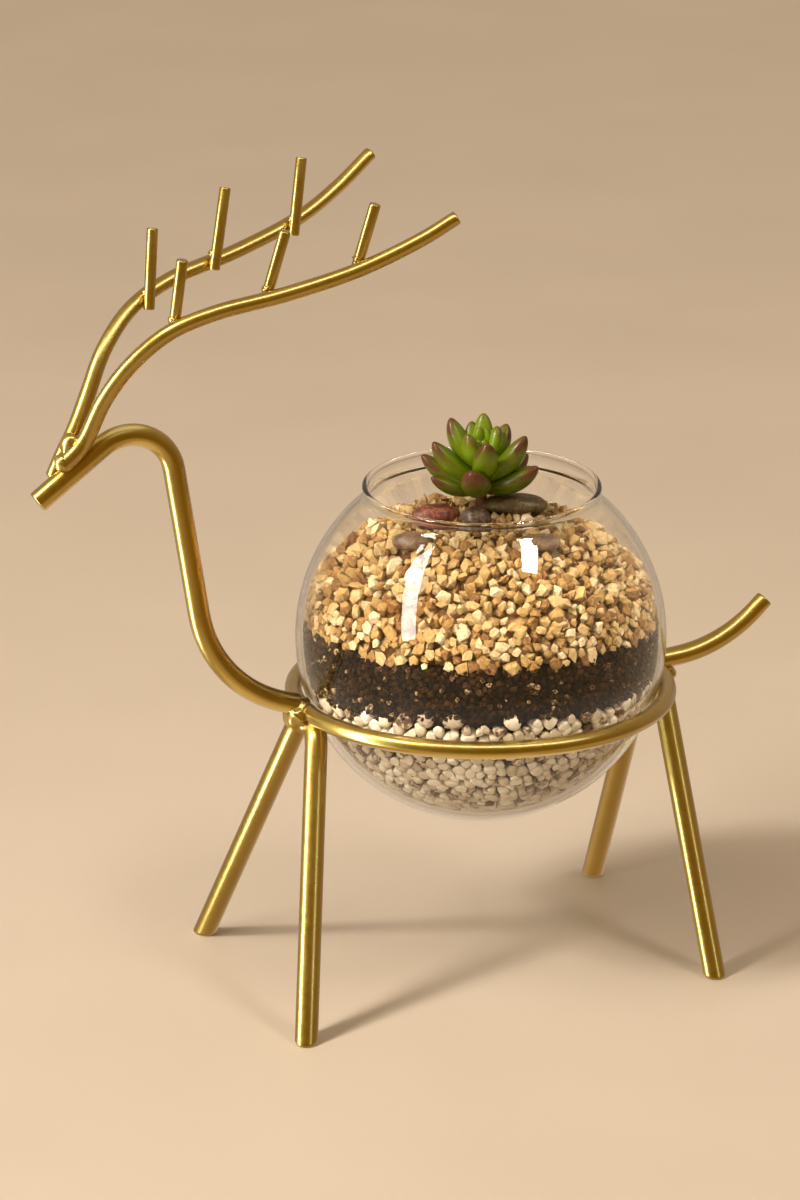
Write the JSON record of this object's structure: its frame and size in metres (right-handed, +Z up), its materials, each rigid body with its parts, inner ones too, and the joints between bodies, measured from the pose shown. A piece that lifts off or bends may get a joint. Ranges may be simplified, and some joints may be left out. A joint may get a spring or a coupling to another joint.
{
  "type": "glass plant terrarium on a deer-shaped stand",
  "caption": "Round glass bowl of layered pumice, soil and gravel with a small succulent, held in the ring of a standing deer bent and welded from gold bar.",
  "frame": {"origin": "on the surface it stands on, under the middle of the whole object's box", "axes": "+Z up, the deer's head points to -X, its left side is -Y"},
  "size_m": [0.211, 0.1058, 0.2211],
  "materials": {
    "gold": "satin gold plated steel bar",
    "gold_weld": "weld metal under the same gold finish, shinier and lumpy",
    "glass": "clear blown glass, polished",
    "pumice": "white pumice grains, matte",
    "soil": "dark crumbly soil, matte",
    "gravel": "tan angular gravel, matte",
    "leaf": "plump leaf with a waxy sheen, green with reddish tips",
    "red_stone": "smooth red-brown pebble",
    "grey_stone": "smooth grey pebble",
    "olive_stone": "smooth olive-brown pebble",
    "brown_stone": "smooth brown pebble",
    "white_stone": "small pale pebble"
  },
  "bodies": {
    "root": {"holder_ring": "gold", "neck_rod": "gold", "tail_rod": "gold", "front_legs": "gold", "rear_legs": "gold", "antler_left": "gold", "antler_right": "gold", "tine_left_1": "gold", "tine_left_2": "gold", "tine_left_3": "gold", "tine_right_1": "gold", "tine_right_2": "gold", "tine_right_3": "gold", "front_weld": "gold_weld", "rear_weld": "gold_weld", "head_weld": "gold_weld", "glass_bowl": "glass", "pumice_layer": "pumice", "soil_layer": "soil", "gravel_layer": "gravel", "succulent": "leaf", "pebble_red": "red_stone", "pebble_grey": "grey_stone", "pebble_olive": "olive_stone", "pebble_brown_left": "brown_stone", "pebble_brown_right": "brown_stone", "pebble_white": "white_stone"}
  },
  "joints": []
}
